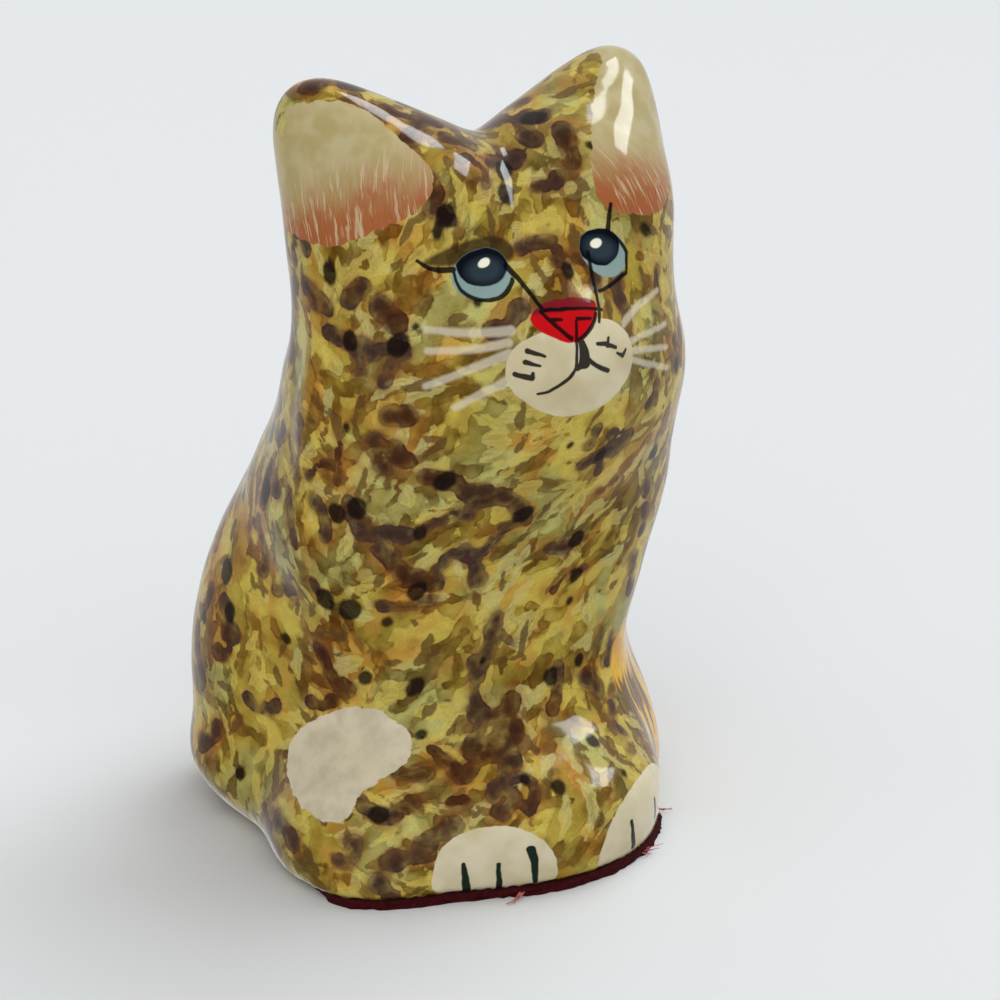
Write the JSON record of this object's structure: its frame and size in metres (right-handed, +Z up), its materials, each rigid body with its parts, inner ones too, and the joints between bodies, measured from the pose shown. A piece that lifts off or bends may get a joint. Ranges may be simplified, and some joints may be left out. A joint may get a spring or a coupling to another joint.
{
  "type": "papier-mache cat ornament",
  "caption": "Small sitting cat ornament, moulded in papier-mache with upright ears, hand-painted and lacquered, on a thin felt pad.",
  "frame": {"origin": "middle of the felt pad's underside, on the surface that the cat stands on", "axes": "+Z up through the ears, -Y the way the cat faces, +X the cat's left"},
  "size_m": [0.055, 0.0528, 0.0879],
  "materials": {
    "lacquered_paint": "mottled ochre, olive and brown brushwork on papier-mache under a thick clear yellowish lacquer",
    "felt": "dark red wool felt with a cut edge and a few loose threads"
  },
  "bodies": {
    "root": {"cat_body": "lacquered_paint", "felt_pad": "felt"}
  },
  "joints": []
}
